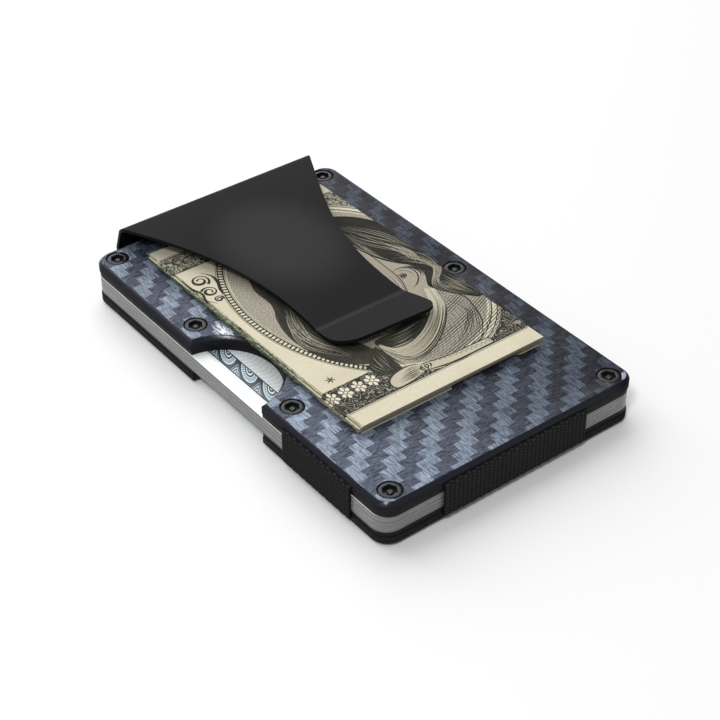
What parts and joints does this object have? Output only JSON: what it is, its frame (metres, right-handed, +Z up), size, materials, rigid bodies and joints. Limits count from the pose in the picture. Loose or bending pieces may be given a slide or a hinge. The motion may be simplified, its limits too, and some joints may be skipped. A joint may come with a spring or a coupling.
{
  "type": "money clip",
  "caption": "Slim plate card holder with a sprung money clip over its top face, elastic bands round the sides and a thumb notch, holding cards and folded banknotes.",
  "frame": {"origin": "centre of the flat bottom face, midway between the long and the short edges of the plates", "axes": "+Z up out of the face that carries the clip, +X along the long side towards the clip's free tip and the closed end with the elastic band, +Y across the width away from the thumb notch"},
  "size_m": [0.0877, 0.0554, 0.0138],
  "materials": {
    "carbon_plate": "blue-grey carbon twill face, dark navy edges, satin",
    "black_plate": "black, satin",
    "dark_screw": "dark burnished",
    "black_elastic": "black woven elastic",
    "black_clip": "matte black coat on spring steel",
    "card_stock": "white face with a pale engraved pattern, grey cut edge",
    "banknote_paper": "cream paper with dark engraved printing"
  },
  "bodies": {
    "bottom_shell": {"bottom_outer_plate": "carbon_plate", "bottom_inner_plate": "black_plate", "bottom_screw_1": "dark_screw", "bottom_screw_2": "dark_screw", "bottom_screw_3": "dark_screw", "bottom_screw_4": "dark_screw", "bottom_screw_5": "dark_screw", "bottom_screw_6": "dark_screw", "bottom_screw_7": "dark_screw", "cross_elastic_band": "black_elastic", "end_elastic_band": "black_elastic"},
    "top_shell": {"top_outer_plate": "carbon_plate", "top_inner_plate": "black_plate", "top_screw_1": "dark_screw", "top_screw_2": "dark_screw", "top_screw_3": "dark_screw", "top_screw_4": "dark_screw", "top_screw_5": "dark_screw", "top_screw_6": "dark_screw", "top_screw_7": "dark_screw", "clip_anchor": "black_clip"},
    "clip_blade": {"clip_blade": "black_clip"},
    "folded_notes": {"folded_note_lower": "banknote_paper", "folded_note_middle": "banknote_paper", "folded_note_upper": "banknote_paper"},
    "card_1": {"card_1": "card_stock"},
    "card_2": {"card_2": "card_stock"},
    "card_3": {"card_3": "card_stock"},
    "card_4": {"card_4": "card_stock"}
  },
  "joints": [
    {"name": "plate_spread", "type": "slide", "parent": "bottom_shell", "child": "top_shell", "axis": [0, 0, 1], "range_m": [0, 0.0064], "stiffness_N_per_m": 400, "springref_m": -0.008, "deforming": ["cross_elastic_band", "end_elastic_band"]},
    {"name": "clip_lift", "type": "hinge", "parent": "top_shell", "child": "clip_blade", "pos_m": [-0.0437, 0, 0.0086], "axis": [0, -1, 0], "range_deg": [0, 8], "stiffness_Nm_per_rad": 0.9, "springref_deg": -8.59},
    {"name": "notes_slide", "type": "slide", "parent": "top_shell", "child": "folded_notes", "axis": [1, 0, 0], "range_m": [0, 0.08]},
    {"name": "card_1_slide", "type": "slide", "parent": "bottom_shell", "child": "card_1", "axis": [-1, 0, 0], "range_m": [0, 0.088]},
    {"name": "card_2_slide", "type": "slide", "parent": "bottom_shell", "child": "card_2", "axis": [-1, 0, 0], "range_m": [0, 0.088]},
    {"name": "card_3_slide", "type": "slide", "parent": "bottom_shell", "child": "card_3", "axis": [-1, 0, 0], "range_m": [0, 0.088]},
    {"name": "card_4_slide", "type": "slide", "parent": "bottom_shell", "child": "card_4", "axis": [-1, 0, 0], "range_m": [0, 0.088]}
  ]
}
